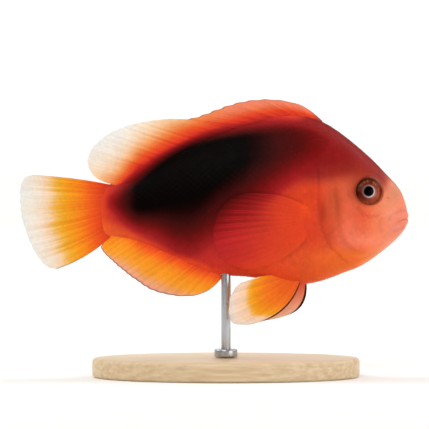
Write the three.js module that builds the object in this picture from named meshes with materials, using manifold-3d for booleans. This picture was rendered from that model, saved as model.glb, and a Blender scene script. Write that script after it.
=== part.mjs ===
// A red saddle clownfish, life size, swimming, on a plain display stand. Millimetres, +Z up.
// +X points to the snout, the fish's right side faces -Y, and the origin is the middle of the
// stand's underside. The fish is 119 mm long over its tail fin.
//
// The fish's lines are given in body lengths from the tip of the snout, as [behind, above]: the
// first number runs towards the tail and the second upwards.

import * as THREE from "three";
import { mergeVertices } from "three/addons/utils/BufferGeometryUtils.js";
import Module from "manifold-3d";

const wasm = await Module();
wasm.setup();
const { Manifold, Mesh: SolidMesh } = wasm;
const { lerp, clamp } = THREE.MathUtils;
const leftward = new THREE.Vector3(0, 1, 0);

// Driving dimensions
const bodyLength = 97; // tip of the snout to the root of the tail fin
const snout = { x: 56, z: 49 }; // where the tip of the snout is
const tailSwing = 3; // how far the tail root is bent to the fish's left
const straightTo = 0.45; // the body is straight as far back as this
const gap = 0.3; // left between pieces that touch

const stand = {
  baseLength: 82,
  baseWidth: 46,
  baseHeight: 6,
  baseBevel: 1.2,
  rodRadius: 1.5,
  rodInBelly: 6,
  collarRadius: 3.6,
  collarHeight: 2.4,
};

// ---- The body's lines ----

const backLine = [
  [0, 0], [0.003, 0.018], [0.0075, 0.04], [0.022, 0.08], [0.037, 0.1025], [0.069, 0.137],
  [0.109, 0.179], [0.157, 0.222], [0.208, 0.263], [0.258, 0.296], [0.309, 0.318],
  [0.375, 0.327], [0.46, 0.314], [0.561, 0.283], [0.662, 0.241], [0.763, 0.188],
  [0.839, 0.14], [0.896, 0.114], [0.949, 0.106], [1, 0.104],
];
const bellyLine = [
  [0, 0], [0.0036, -0.02], [0.0126, -0.04], [0.0285, -0.06], [0.05, -0.0815],
  [0.08, -0.1065], [0.12, -0.136], [0.16, -0.1595], [0.2, -0.1745], [0.24, -0.19],
  [0.28, -0.203], [0.32, -0.211], [0.375, -0.209], [0.438, -0.198], [0.508, -0.189],
  [0.583, -0.183], [0.637, -0.169], [0.691, -0.147], [0.77, -0.112], [0.848, -0.08],
  [0.912, -0.066], [1, -0.065],
];
const halfWidth = [
  [0, 0], [0.004, 0.016], [0.016, 0.033], [0.04, 0.05], [0.08, 0.068], [0.122, 0.083],
  [0.18, 0.099], [0.24, 0.109], [0.3, 0.113], [0.38, 0.111], [0.48, 0.102], [0.6, 0.081],
  [0.72, 0.057], [0.82, 0.038], [0.9, 0.026], [0.96, 0.018], [1, 0.012],
];
const widestLine = [
  [0, 0], [0.12, 0.01], [0.25, 0.035], [0.4, 0.06], [0.6, 0.05], [0.8, 0.03], [1, 0.018],
];
// How the sections close above and below their widest line: 1 is an ellipse, more is a ridge.
const backSharpness = [[0, 0.9], [0.15, 0.97], [0.3, 1.3], [0.8, 1.3], [1, 1]];
const bellySharpness = 0.92;

// ---- The eyes, and where the body is parted ----

const eye = {
  at: [0.1314, 0.0845],
  radius: 4.9,
  halfDepth: 2.6,
  sunk: 1.35, // its middle, below the skin
  turnedForward: 0.24, // radians
  turnedUp: 0.24,
};
const gillSlit = [
  [0.25, 0.345], [0.277, 0.245], [0.288, 0.15], [0.291, 0.055], [0.287, 0.008],
  [0.274, -0.046], [0.246, -0.096], [0.201, -0.137], [0.148, -0.172], [0.11, -0.205],
];
const gillCoverFront = [
  [0.32, 0.168], [0.275, 0.165], [0.247, 0.13], [0.229, 0.039], [0.222, -0.014],
  [0.214, -0.065], [0.189, -0.109], [0.14, -0.15],
];
const gillCoverThickness = 3.6;
const stalkCut = [[0.91, 0.17], [0.893, 0.02], [0.91, -0.13]];
const gape = [[-0.03, 0.004], [0, -0.002], [0.033, -0.011], [0.056, -0.022]];
const jawBack = [[0.056, -0.022], [0.066, -0.06], [0.086, -0.16]];

// ---- The fins: the first ray of each is the one nearest the head, or the uppermost ----

const dorsalFin = {
  from: 0.27,
  to: 0.925,
  edge: [
    [0.274, 0.306], [0.3, 0.329], [0.325, 0.347], [0.359, 0.362], [0.41, 0.3735],
    [0.46, 0.375], [0.511, 0.3705], [0.561, 0.36], [0.612, 0.343], [0.662, 0.322], [0.7, 0.311],
    [0.763, 0.311], [0.814, 0.306], [0.864, 0.297], [0.915, 0.281], [0.965, 0.253],
    [0.995, 0.226], [1.013, 0.197], [1.016, 0.172], [1.003, 0.14], [0.982, 0.121],
    [0.96, 0.112],
  ],
  spines: 11,
  softRays: 18,
  lastSpine: 0.4, // how far along the fin the spines give way to soft rays
  webbingDip: 0.04, // between spines
  fanning: 0.72, // below 1 the rays lean back, and the front ones spread the most
};
const analFin = {
  from: 0.594,
  to: 0.935,
  edge: [
    [0.592, -0.194], [0.609, -0.213], [0.637, -0.234], [0.67, -0.246], [0.713, -0.25],
    [0.763, -0.2445], [0.8, -0.235], [0.839, -0.215], [0.89, -0.178], [0.94, -0.136],
    [0.972, -0.101], [0.978, -0.085], [0.972, -0.074],
  ],
  rays: 16,
  fanning: 0.52,
};
const tailFin = {
  root: [[0.975, 0.1], [1, 0.02], [0.972, -0.065]],
  edge: [
    [1.19, 0.133], [1.213, 0.127], [1.227, 0.105], [1.231, 0.065], [1.229, 0.02],
    [1.219, -0.027], [1.193, -0.095], [1.167, -0.139], [1.142, -0.16], [1.113, -0.165],
  ],
  rays: 15,
  bow: [-0.02, 0.075],
};
const pectoralFin = {
  root: [[0.318, 0.033], [0.312, -0.008], [0.318, -0.05]],
  edge: [
    [0.47, 0.078], [0.52, 0.077], [0.57, 0.055], [0.605, 0.01], [0.617, -0.05],
    [0.6, -0.105], [0.56, -0.145], [0.5, -0.16], [0.45, -0.147],
  ],
  rays: 19,
  standsOff: -0.4, // how much further out its edge is than its root
  cupping: 0.4, // how much nearer the first and last rays stay
};
const pelvicFin = {
  root: [[0.338, -0.185], [0.36, -0.183], [0.385, -0.18]],
  edge: [
    [0.476, -0.327], [0.501, -0.334], [0.53, -0.335], [0.556, -0.331], [0.566, -0.314],
    [0.569, -0.286], [0.564, -0.248], [0.55, -0.22], [0.533, -0.205], [0.508, -0.198],
  ],
  rays: 7,
  rootFromMiddle: 2.4,
  splayLost: 0.3, // how much less the last ray splays than the first
};
// How each pelvic fin is held: moved forward, turned forward (radians), foreshortened and bowed
// as it swings out, and how many millimetres its edge stands out from its root.
const pelvicFinHolds = {
  right: { side: -1, forward: 0, turn: 0, reach: 1, bow: [0.15, -0.06], splay: 5 },
  left: { side: 1, forward: 0.013, turn: 0.07, reach: 0.88, bow: [0.26, -0.06], splay: 10 },
};
const held = { forward: 0, turn: 0, reach: 1 };

// Millimetres through a fin at its root and edge, and how far each ray swells from that.
const finThickness = {
  spiny: { root: 1.6, edge: 0.5, ray: 0.14 },
  soft: { root: 1.5, edge: 0.5, ray: 0.1 },
  pectoral: { root: 1.2, edge: 0.5, ray: 0.1 },
  pelvic: { root: 1.3, edge: 0.55, ray: 0.12 },
};
const ripple = { size: 0.6, turns: 5.5 }; // of the soft fins' free edges

// ---- Lines and curves ----

// A place on the fish's middle plane, before the tail is bent.
function place([behind, above]) {
  return new THREE.Vector3(snout.x - behind * bodyLength, 0, snout.z + above * bodyLength);
}

function curveThrough(points) {
  const places = points.map((point) => place(point));
  return new THREE.CatmullRomCurve3(places, false, "centripetal");
}

// A line's second number as a smooth function of the distance behind the snout.
function along(points) {
  const knots = points.map(([behind, value]) => new THREE.Vector3(behind, value, 0));
  const curve = new THREE.CatmullRomCurve3(knots, false, "centripetal");
  const samples = curve.getPoints(points.length * 12);
  return (behind) => {
    const found = samples.findIndex((sample) => sample.x >= behind);
    const next = found < 0 ? samples.length - 1 : Math.max(1, found);
    const [a, b] = [samples[next - 1], samples[next]];
    return lerp(a.y, b.y, b.x > a.x ? clamp((behind - a.x) / (b.x - a.x), 0, 1) : 1);
  };
}

const backAt = along(backLine);
const bellyAt = along(bellyLine);
const widthAt = along(halfWidth);
const widestAt = along(widestLine);
const backSharpnessAt = along(backSharpness);

// How far the middle plane is bent to the left at x, for the tail's swing.
function bendAt(x) {
  const behind = (snout.x - x) / bodyLength;
  return tailSwing * Math.max(0, (behind - straightTo) / (1 - straightTo)) ** 2;
}

// The half width of the body at a place in side view, in millimetres.
function halfWidthAt(point) {
  const behind = (snout.x - point.x) / bodyLength;
  const above = (point.z - snout.z) / bodyLength;
  const widest = widestAt(behind);
  const onBack = above > widest;
  const reach = onBack ? backAt(behind) - widest : widest - bellyAt(behind);
  const rise = Math.min(1, Math.abs(above - widest) / reach);
  const sharpness = onBack ? backSharpnessAt(behind) : bellySharpness;
  return bodyLength * widthAt(behind) * Math.sqrt(1 - rise * rise) ** sharpness;
}

// A stretch of the back or belly line that a fin stands on, clear of the body by so much.
function rootAlong(lineAt, from, to, clear) {
  const steps = 8;
  return Array.from({ length: steps + 1 }, (_, i) => {
    const behind = lerp(from, to, i / steps);
    return [behind, lineAt(behind) + clear / bodyLength];
  });
}

// A curve's points, each moved sideways by so many millimetres.
function beside(curve, steps, distance) {
  return Array.from({ length: steps + 1 }, (_, i) => {
    const tangent = curve.getTangent(i / steps);
    const sideways = new THREE.Vector3(-tangent.z, 0, tangent.x);
    return curve.getPoint(i / steps).addScaledVector(sideways, distance);
  });
}

// ---- Solids ----

// A closed geometry as a solid. Its triangles are turned over where they face inwards.
function solidOf(geometry) {
  const bare = geometry.clone();
  bare.deleteAttribute("normal");
  bare.deleteAttribute("uv");
  const merged = mergeVertices(bare, 1e-3);
  const vertProperties = merged.attributes.position.array;
  const triVerts = new Uint32Array(merged.index.array);
  const solid = new Manifold(new SolidMesh({ numProp: 3, vertProperties, triVerts }));
  if (solid.volume() > 0) return solid;
  triVerts.reverse();
  return new Manifold(new SolidMesh({ numProp: 3, vertProperties, triVerts }));
}

function geometryOf(solid) {
  const mesh = solid.getMesh();
  const geometry = new THREE.BufferGeometry();
  geometry.setAttribute("position", new THREE.BufferAttribute(mesh.vertProperties, 3));
  geometry.setIndex(new THREE.BufferAttribute(mesh.triVerts, 1));
  geometry.computeVertexNormals();
  return geometry;
}

// The whole body, swollen by some millimetres. It is a sphere whose rings become the sections:
// they crowd towards the snout, and the last one closes flat at the tail root.
function bodySolid(swell = 0) {
  const around = 32;
  const rings = 34;
  const crowding = 1.6;
  const geometry = new THREE.SphereGeometry(1, around, rings);
  const position = geometry.attributes.position;
  for (let i = 0; i < position.count; i++) {
    const [up, ahead, left] = [position.getX(i), position.getY(i), position.getZ(i)];
    const ring = Math.acos(clamp(ahead, -1, 1)) / Math.PI;
    const behind = Math.min(1, (ring * rings) / (rings - 1)) ** crowding;
    const radius = Math.hypot(up, left);
    const rise = radius > 1e-6 ? up / radius : 0;
    const side = radius > 1e-6 ? left / radius : 0;
    const widest = widestAt(behind);
    const reach = bodyLength * (rise > 0 ? backAt(behind) - widest : widest - bellyAt(behind));
    const across = bodyLength * widthAt(behind) + swell;
    const sharpness = rise > 0 ? backSharpnessAt(behind) : bellySharpness;
    const x = snout.x - behind * bodyLength + swell * (1 - 2 * behind);
    const y = bendAt(x) + across * Math.sign(side) * Math.abs(side) ** sharpness;
    position.setXYZ(i, x, y, snout.z + widest * bodyLength + (reach + swell) * rise);
  }
  return solidOf(geometry);
}

// A side-view outline carried across the fish from one y to another.
function prism(points, fromY, toY) {
  const shape = new THREE.Shape(points.map((p) => new THREE.Vector2(p.x, p.z)));
  const geometry = new THREE.ExtrudeGeometry(shape, { depth: toY - fromY, bevelEnabled: false });
  return solidOf(geometry.rotateX(Math.PI / 2).translate(0, toY, 0));
}

// A thin wall across the fish along a curve, which parts whatever it crosses.
function cutAlong(points) {
  const curve = curveThrough(points);
  const steps = points.length * 2;
  const outline = [...beside(curve, steps, gap / 2), ...beside(curve, steps, -gap / 2).reverse()];
  return prism(outline, -stand.baseWidth, stand.baseWidth);
}

// The room of one gill cover, grown inwards by some millimetres.
function gillCoverRoom(side, grown) {
  const front = beside(curveThrough(gillCoverFront), gillCoverFront.length * 2, grown);
  const [back, foot] = [gillCoverFront[0][0], gillCoverFront.at(-1)[1]];
  const inner = bodyLength * widthAt(back) - gillCoverThickness - grown;
  const [fromY, toY] = side > 0 ? [inner, stand.baseWidth] : [-stand.baseWidth, -inner];
  return prism([...front, place([back, foot])], fromY, toY);
}

// An eyeball, flattened along its axis. side is 1 on the fish's left and -1 on its right.
function eyeSolid(side, swell = 0) {
  const middle = place(eye.at);
  const y = side * (halfWidthAt(middle) - eye.sunk);
  const geometry = new THREE.SphereGeometry(1, 20, 10);
  geometry.rotateX(Math.PI / 2);
  geometry.scale(eye.radius + swell, eye.halfDepth + swell, eye.radius + swell);
  geometry.rotateX(side * eye.turnedUp).rotateZ(-side * eye.turnedForward);
  return solidOf(geometry.translate(middle.x, y, middle.z));
}

// A fin is a unit box carried onto it: x runs from the first ray to the last, y from root to
// edge and z through its thickness, which swells at each ray. rows is how many steps long a ray
// is, range the part of root and edge that is used, edgeShare where along the edge a ray ends,
// bow how far the first and last rays curve out from straight, dip how deeply the webbing is
// cut back between rays, and sway the middle surface's distance to the fish's left.
function finSolid(fin) {
  const { root, edge, rays, rows, thickness, sway = rippled, edgeShare = (share) => share } = fin;
  const { range = [0, 1], bow = [0, 0], dip = 0, hold = held } = fin;
  const rootCurve = curveThrough(root);
  const edgeCurve = curveThrough(edge);
  const pivot = rootCurve.getPoint(0);
  const webs = rays - 1;
  const geometry = new THREE.BoxGeometry(1, 1, 1, webs * 2, rows, 1);
  const position = geometry.attributes.position;
  for (let i = 0; i < position.count; i++) {
    const across = position.getX(i) + 0.5;
    const height = position.getY(i) + 0.5;
    const share = lerp(range[0], range[1], across);
    const ridge = 0.5 + 0.5 * Math.cos(2 * Math.PI * webs * across);
    const from = rootCurve.getPointAt(share);
    const ray = edgeCurve.getPointAt(edgeShare(share)).sub(from);
    const reach = height * (1 - dip * (1 - ridge));
    const curve = lerp(bow[0], bow[1], share) * 4 * reach * (1 - reach);
    const at = from.clone().addScaledVector(ray, reach);
    at.add(new THREE.Vector3(-ray.z, 0, ray.x).multiplyScalar(curve));
    at.sub(pivot).multiplyScalar(hold.reach).applyAxisAngle(leftward, -hold.turn).add(pivot);
    at.x += hold.forward * bodyLength;
    const half = lerp(thickness.root, thickness.edge, height) / 2 + thickness.ray * ridge;
    const y = bendAt(at.x) + sway(share, height, from, at) - Math.sign(position.getZ(i)) * half;
    position.setXYZ(i, at.x, y, at.z);
  }
  return solidOf(geometry);
}

function rippled(share, height) {
  return ripple.size * height * height * share * Math.sin(ripple.turns * Math.PI * share);
}

// ---- The fins ----

const roomForBody = bodySolid(gap);

function dorsalFinPart(spiny) {
  const { from, to, edge, spines, softRays, lastSpine, webbingDip, fanning } = dorsalFin;
  const halfGap = gap / bodyLength / (to - from) / 2;
  return finSolid({
    root: rootAlong(backAt, from, to, gap),
    edge,
    rays: spiny ? spines : softRays,
    rows: 3,
    range: spiny ? [0, lastSpine - halfGap] : [lastSpine + halfGap, 1],
    edgeShare: (share) => share ** fanning,
    dip: spiny ? webbingDip : 0,
    thickness: spiny ? finThickness.spiny : finThickness.soft,
  });
}

function analFinSolid() {
  const root = rootAlong(bellyAt, analFin.from, analFin.to, -gap);
  const edgeShare = (share) => share ** analFin.fanning;
  return finSolid({ ...analFin, root, edgeShare, rows: 3, thickness: finThickness.soft });
}

// A pectoral fin lies back along the flank and stands a little off it, cupped towards the body.
function pectoralFinSolid(side) {
  const { root, ray } = finThickness.pectoral;
  const clear = gap + root / 2 + ray;
  const sway = (share, height, from, at) => {
    const cupped = pectoralFin.cupping * (2 * share - 1) ** 2;
    const flank = (halfWidthAt(from) + halfWidthAt(at)) / 2;
    return side * (flank + clear + (pectoralFin.standsOff - cupped) * height);
  };
  return finSolid({ ...pectoralFin, rows: 3, thickness: finThickness.pectoral, sway });
}

function pelvicFinSolid(hold) {
  const sway = (share, height) => {
    const splay = hold.splay * (1 - pelvicFin.splayLost * share);
    return hold.side * (pelvicFin.rootFromMiddle + splay * height);
  };
  const { bow } = hold;
  const whole = finSolid({ ...pelvicFin, rows: 5, bow, hold, thickness: finThickness.pelvic, sway });
  return whole.subtract(roomForBody);
}

function tailFinSolid() {
  return finSolid({ ...tailFin, rows: 3, thickness: finThickness.spiny }).subtract(roomForBody);
}

// ---- The stand ----

function uprightCylinder(radius, fromZ, toZ) {
  const geometry = new THREE.CylinderGeometry(radius, radius, toZ - fromZ, 20);
  return solidOf(geometry.rotateX(Math.PI / 2).translate(0, 0, (fromZ + toZ) / 2));
}

const rodTop = snout.z + bellyAt(snout.x / bodyLength) * bodyLength + stand.rodInBelly;
const rodFoot = stand.baseHeight + gap;
const rodRoom = uprightCylinder(stand.rodRadius + gap, 0, rodTop + gap);

// An oval plate with rounded rims.
function baseSolid() {
  const { baseLength, baseWidth, baseHeight, baseBevel } = stand;
  const outline = new THREE.Shape();
  outline.absellipse(0, 0, baseLength / 2 - baseBevel, baseWidth / 2 - baseBevel, 0, 2 * Math.PI);
  const geometry = new THREE.ExtrudeGeometry(outline, {
    depth: baseHeight - 2 * baseBevel,
    bevelThickness: baseBevel,
    bevelSize: baseBevel,
    bevelSegments: 2,
    curveSegments: 18,
  });
  return solidOf(geometry.translate(0, 0, baseBevel));
}

function collarSolid() {
  const collar = uprightCylinder(stand.collarRadius, rodFoot, rodFoot + stand.collarHeight);
  return collar.subtract(rodRoom);
}

// ---- The body's pieces ----

// The cuts leave four pieces, which stand one behind another.
const parted = [gillSlit, stalkCut, gape, jawBack]
  .reduce((body, line) => body.subtract(cutAlong(line)), bodySolid())
  .decompose()
  .sort((a, b) => b.boundingBox().min[0] - a.boundingBox().min[0]);
const [lowerJaw, wholeHead, trunk, tailStalk] = parted;

function headSolid() {
  return [1, -1].reduce(
    (head, side) => head.subtract(gillCoverRoom(side, gap)).subtract(eyeSolid(side, gap)),
    wholeHead,
  );
}

// ---- One mesh for each sub-part ----

function skin(color) {
  return new THREE.MeshStandardMaterial({ color, roughness: 0.42, metalness: 0 });
}

const materials = {
  head: skin(0xe5603c),
  trunk: skin(0x7a1a14),
  stalk: skin(0xe0461f),
  redFin: skin(0xe8602c),
  paleFin: skin(0xf3b46a),
  eye: new THREE.MeshStandardMaterial({ color: 0x2a0f0a, roughness: 0.08, metalness: 0 }),
  wood: new THREE.MeshStandardMaterial({ color: 0xd9c7a8, roughness: 0.5, metalness: 0 }),
  steel: new THREE.MeshStandardMaterial({ color: 0xb9bcc0, roughness: 0.28, metalness: 1 }),
};

const fish = new THREE.Group();

function add(name, solid, material) {
  const mesh = new THREE.Mesh(geometryOf(solid), material);
  mesh.name = name;
  fish.add(mesh);
}

add("head", headSolid(), materials.head);
add("lower_jaw", lowerJaw, materials.head);
add("trunk", trunk.subtract(rodRoom), materials.trunk);
add("tail_stalk", tailStalk, materials.stalk);
add("dorsal_fin_spiny", dorsalFinPart(true), materials.redFin);
add("dorsal_fin_soft", dorsalFinPart(false), materials.paleFin);
add("anal_fin", analFinSolid(), materials.paleFin);
add("tail_fin", tailFinSolid(), materials.paleFin);
for (const name of ["right", "left"]) {
  const { side } = pelvicFinHolds[name];
  add(`gill_cover_${name}`, wholeHead.intersect(gillCoverRoom(side, 0)), materials.head);
  add(`eye_${name}`, eyeSolid(side), materials.eye);
  add(`pectoral_fin_${name}`, pectoralFinSolid(side), materials.redFin);
  add(`pelvic_fin_${name}`, pelvicFinSolid(pelvicFinHolds[name]), materials.paleFin);
}
add("stand_base", baseSolid(), materials.wood);
add("stand_collar", collarSolid(), materials.steel);
add("stand_rod", uprightCylinder(stand.rodRadius, rodFoot, rodTop), materials.steel);

export default fish;
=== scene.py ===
# A red saddle clownfish, life size, swimming, on a plain display stand.
import math

import bpy
import numpy as np
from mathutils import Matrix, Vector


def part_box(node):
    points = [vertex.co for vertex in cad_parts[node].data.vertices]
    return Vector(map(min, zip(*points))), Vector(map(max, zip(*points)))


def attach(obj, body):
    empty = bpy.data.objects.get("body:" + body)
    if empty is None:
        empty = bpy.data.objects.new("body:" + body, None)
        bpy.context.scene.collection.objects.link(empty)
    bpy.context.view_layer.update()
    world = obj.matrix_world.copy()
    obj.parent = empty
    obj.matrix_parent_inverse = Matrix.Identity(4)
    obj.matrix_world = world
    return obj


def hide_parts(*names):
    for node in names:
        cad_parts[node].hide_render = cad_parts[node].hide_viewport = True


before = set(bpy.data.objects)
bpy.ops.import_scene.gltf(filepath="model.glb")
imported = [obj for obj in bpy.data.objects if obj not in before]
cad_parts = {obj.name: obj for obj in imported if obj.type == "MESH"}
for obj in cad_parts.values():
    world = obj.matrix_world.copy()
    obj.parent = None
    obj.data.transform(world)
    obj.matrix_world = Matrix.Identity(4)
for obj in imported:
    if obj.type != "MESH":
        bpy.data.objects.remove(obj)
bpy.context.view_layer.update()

mm = 0.001

# Places on the fish are (behind, above) the tip of its snout, in body lengths. The curves, colours,
# folds and sprays below give places and shares in thousandths.
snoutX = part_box("head")[1].x
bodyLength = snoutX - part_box("tail_stalk")[0].x
backTop = 327
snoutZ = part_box("trunk")[1].z - backTop / 1000 * bodyLength
tailSwing = {"by": 3 * mm, "from": 0.45}

body = {
    "back": {
        0: 0, 3: 18, 7.5: 40, 22: 80, 37: 102.5, 69: 137, 109: 179, 157: 222, 208: 263, 258: 296, 309: 318,
        375: backTop, 460: 314, 561: 283, 662: 241, 763: 188, 839: 140, 896: 114, 949: 106, 1000: 104,
    },
    "belly": {
        0: 0, 3.6: -20, 12.6: -40, 28.5: -60, 50: -81.5, 80: -106.5, 120: -136, 160: -159.5, 200: -174.5,
        240: -190, 280: -203, 320: -211, 375: -209, 438: -198, 508: -189, 583: -183, 637: -169, 691: -147,
        770: -112, 848: -80, 912: -66, 1000: -65,
    },
    "halfWidth": {
        0: 0, 4: 16, 16: 33, 40: 50, 80: 68, 122: 83, 180: 99, 240: 109, 300: 113, 380: 111, 480: 102,
        600: 81, 720: 57, 820: 38, 900: 26, 960: 18, 1000: 12,
    },
    "widest": {0: 0, 120: 10, 250: 35, 400: 60, 600: 50, 800: 30, 1000: 18},
    "backRidge": {0: 900, 150: 970, 300: 1300, 800: 1300, 1000: 1000},
    "bellyRidge": 0.92,
}


def smoothCurve(points, steps=16):  # a centripetal spline through the points
    p = np.array(points, float) / 1000
    p = np.vstack([2 * p[0] - p[1], p, 2 * p[-1] - p[-2]])
    s = np.linspace(0, 1, steps, endpoint=False)[:, None]
    spans = []
    for a, b, c, d in zip(p, p[1:], p[2:], p[3:]):
        ab, bc, cd = (np.sqrt(np.linalg.norm(v - u)) for u, v in ((a, b), (b, c), (c, d)))
        leave = ((b - a) / ab - (c - a) / (ab + bc) + (c - b) / bc) * bc
        arrive = ((c - b) / bc - (d - b) / (bc + cd) + (d - c) / cd) * bc
        spans.append((2 * s**3 - 3 * s**2 + 1) * b + (s**3 - 2 * s**2 + s) * leave
                     + (3 * s**2 - 2 * s**3) * c + (s**3 - s**2) * arrive)
    return np.vstack(spans + [p[-2:-1]])


def runAlong(curve):  # how far along it each of its points lies
    return np.concatenate([[0], np.cumsum(np.linalg.norm(np.diff(curve, axis=0), axis=1))])


def line(table):
    curve = smoothCurve(list(table.items()))
    return lambda behind: np.interp(behind, curve[:, 0], curve[:, 1])


def alongCurve(points):  # by the share of its length
    curve = smoothCurve(points)
    run = runAlong(curve)
    run /= run[-1]
    return lambda share: np.stack([np.interp(share, run, curve[:, k]) for k in (0, 1)], -1)


def ease(low, high, x):
    t = np.clip((x - low) / (high - low), 0, 1)
    return t * t * (3 - 2 * t)


def bell(x, width):
    return np.exp(-((x / width) ** 2))


def awayFrom(spot, behind, above):  # in metres, in side view
    return np.hypot(behind - spot["at"][0], above - spot["at"][1]) * bodyLength


def turnedBy(angle, u, v):
    return u * math.cos(angle) - v * math.sin(angle), u * math.sin(angle) + v * math.cos(angle)


def besideCurve(points, behind, above, steps=5):
    # signed distance from a curve in metres, and how far along it, for places in side view
    curve = smoothCurve(points, steps)
    run = runAlong(curve)
    flat = np.stack([np.ravel(behind), np.ravel(above)], -1)
    best = np.full(len(flat), np.inf)
    signed = np.zeros(len(flat))
    share = np.zeros(len(flat))
    for k, (start, end) in enumerate(zip(curve, curve[1:])):
        step = end - start
        t = np.clip((flat - start) @ step / (step @ step), 0, 1)
        off = flat - start - t[:, None] * step
        away = np.hypot(off[:, 0], off[:, 1])
        nearer = away < best
        best[nearer] = away[nearer]
        turn = step[0] * off[:, 1] - step[1] * off[:, 0]
        signed[nearer] = (np.sign(turn) * away)[nearer]
        share[nearer] = ((run[k] + t * (run[k + 1] - run[k])) / run[-1])[nearer]
    shape = np.shape(behind)
    return signed.reshape(shape) * bodyLength, share.reshape(shape)


backAt = line(body["back"])
bellyAt = line(body["belly"])
widthAt = line(body["halfWidth"])
widestAt = line(body["widest"])
ridgeAt = line(body["backRidge"])


def bendAt(x):  # the tail's swing to the left
    behind = (snoutX - x) / bodyLength
    return tailSwing["by"] * np.maximum(0, (behind - tailSwing["from"]) / (1 - tailSwing["from"])) ** 2


def halfWidthAt(behind, above):
    widest = widestAt(behind)
    onBack = above > widest
    reach = np.where(onBack, backAt(behind) - widest, widest - bellyAt(behind))
    rise = np.minimum(1, np.abs(above - widest) / reach)
    ridge = np.where(onBack, ridgeAt(behind), body["bellyRidge"])
    return bodyLength * widthAt(behind) * np.sqrt(1 - rise * rise) ** ridge


def rgb(code):
    return np.array([int(code[i : i + 2], 16) for i in (0, 2, 4)]) / 255


def ramp(x, stops):
    places = [place / 1000 for place in stops]
    colours = np.array([rgb(code) for code in stops.values()])
    return np.stack([np.interp(x, places, colours[:, k]) for k in range(3)], -1)


def levelAt(x, table):
    return np.interp(x, *np.transpose(list(table.items())) / 1000)


def over(under, weight, colour):  # a colour or its code
    colour = rgb(colour) if isinstance(colour, str) else colour
    weight = np.asarray(weight)[..., None]
    return under * (1 - weight) + colour * weight


def linear(colour):
    colour = np.clip(colour, 0, 1)
    return np.where(colour <= 0.04045, colour / 12.92, ((colour + 0.055) / 1.055) ** 2.4)


coat = {
    # along the side at half height, and along the belly
    "side": {
        0: "F0866C", 60: "F48C6C", 100: "F6835A", 150: "F3663F", 200: "EE6644", 250: "DC5230", 300: "E04223",
        360: "E24424", 420: "D23925", 480: "C73026", 600: "BE2726", 880: "BC2824", 930: "C82E24",
        # its last two stops are the stalk's orange, lightened as painted light where the stalk's surface
        # turns back towards the tail
        970: "E44826", 1000: "F26028",
    },
    "belly": {
        0: "F6997C", 70: "F69A78", 120: "F58552", 170: "F06E2A", 240: "EE6426", 330: "E45425", 420: "E64A26",
        500: "E04225", 620: "CC2E26", 700: "CC3026", 820: "DC4420", 900: "E65226", 950: "EE5C26",
        1000: "F46424",
    },
    "bellyFrom": {
        0: -10, 80: -60, 120: -86, 180: -84, 240: -60, 400: -40, 600: -70, 800: -60, 900: -10, 1000: 20,
    },
    "bellyTo": {
        0: -50, 80: -100, 120: -112, 180: -114, 240: -125, 400: -140, 600: -160, 800: -100, 900: -55,
        1000: -30,
    },
    # the dark hood over the nape
    "hood": {0: "B5402A", 500: "9C2A1F", 1000: "8E1B1B"},
    "hoodFrom": {0: 60, 50: 90, 80: 68, 120: 60, 160: 80, 200: 90, 270: 93, 360: 70},
    "hoodTo": {0: 200, 60: 170, 90: 160, 150: 200, 200: 195, 270: 170, 360: 200},
    # the saddle, from the clear flank into its black
    "saddle": {
        0: "C62A26", 120: "B42022", 280: "981A1C", 450: "7A1414", 600: "5C1412", 750: "441413",
        880: "2C1010", 1000: "100806",
    },
    "saddleLowFrom": {
        200: 140, 280: 100, 340: 90, 420: 35, 500: -50, 580: -100, 660: -140, 740: -130, 820: -85, 880: -55,
        940: -10, 1000: 30,
    },
    "saddleLowTo": {
        200: 280, 280: 230, 340: 225, 420: 200, 500: 185, 580: 130, 660: 72, 720: 55, 820: 32, 880: 35,
        940: 55, 1000: 80,
    },
    "saddleTopFrom": {
        200: 260, 300: 310, 380: 325, 460: 319, 540: 303, 620: 283, 700: 251, 780: 211, 860: 158, 920: 115,
        1000: 70,
    },
    "saddleTopTo": {
        200: 220, 300: 260, 380: 265, 460: 257, 540: 249, 620: 237, 700: 214, 780: 165, 860: 95, 920: 50,
        1000: 0,
    },
    "saddleLength": {
        200: 0, 250: 360, 300: 500, 340: 620, 420: 760, 470: 900, 520: 1000, 860: 1000, 900: 700, 940: 320,
        975: 0, 1000: 0,
    },
    # sprays: where, how far they reach along and up, colour, strength
    "sprays": {
        "foreheadHaze": (45, 85, 30, 35, "C07F5E", 0.7),
        "snoutPeach": (70, 45, 25, 30, "EE9069", 0.6),
        "cheekRed": (155, 5, 30, 20, "F4573A", 0.5),
        "cheekWarm": (190, -50, 40, 40, "F47A5C", 0.6),
        # along the gill cover's edge, an olive tint with painted shade
        "gillOliveShade": (235, 50, 18, 50, "C9532E", 0.7),
        "gillShade": (275, 20, 12, 35, "B8381C", 0.85),
        "gillFoot": (262, -55, 20, 40, "D04526", 0.6),
        "emberSpot": (330, 30, 24, 26, "F45420", 0.8),
        "breastOrange": (262, -125, 30, 20, "F4682A", 0.6),
        "browRed": (95, 125, 25, 30, "8E2A20", 0.7),
        "browShade": (150, 140, 30, 25, "A83826", 0.5),
        "eyeShade": (160, 88, 42, 40, "A03C24", 0.85),
        # on the lower cheek, a pink painted highlight
        "jowlPinkHighlight": (140, -70, 45, 20, "FC9E84", 0.45),
        "upperLip": (60, 12, 22, 12, "FB9C84", 0.6),
        "lowerLip": (35, -35, 20, 15, "FA9580", 0.6),
    },
}
coatLines = {name: line(coat[name]) for name in coat if name[-2:] in ("om", "To")}


def between(name, behind, above):  # 0 at the From line and 1 at the To line
    start, end = coatLines[name + "From"](behind), coatLines[name + "To"](behind)
    return np.clip((above - start) / (end - start), 0, 1)


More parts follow.
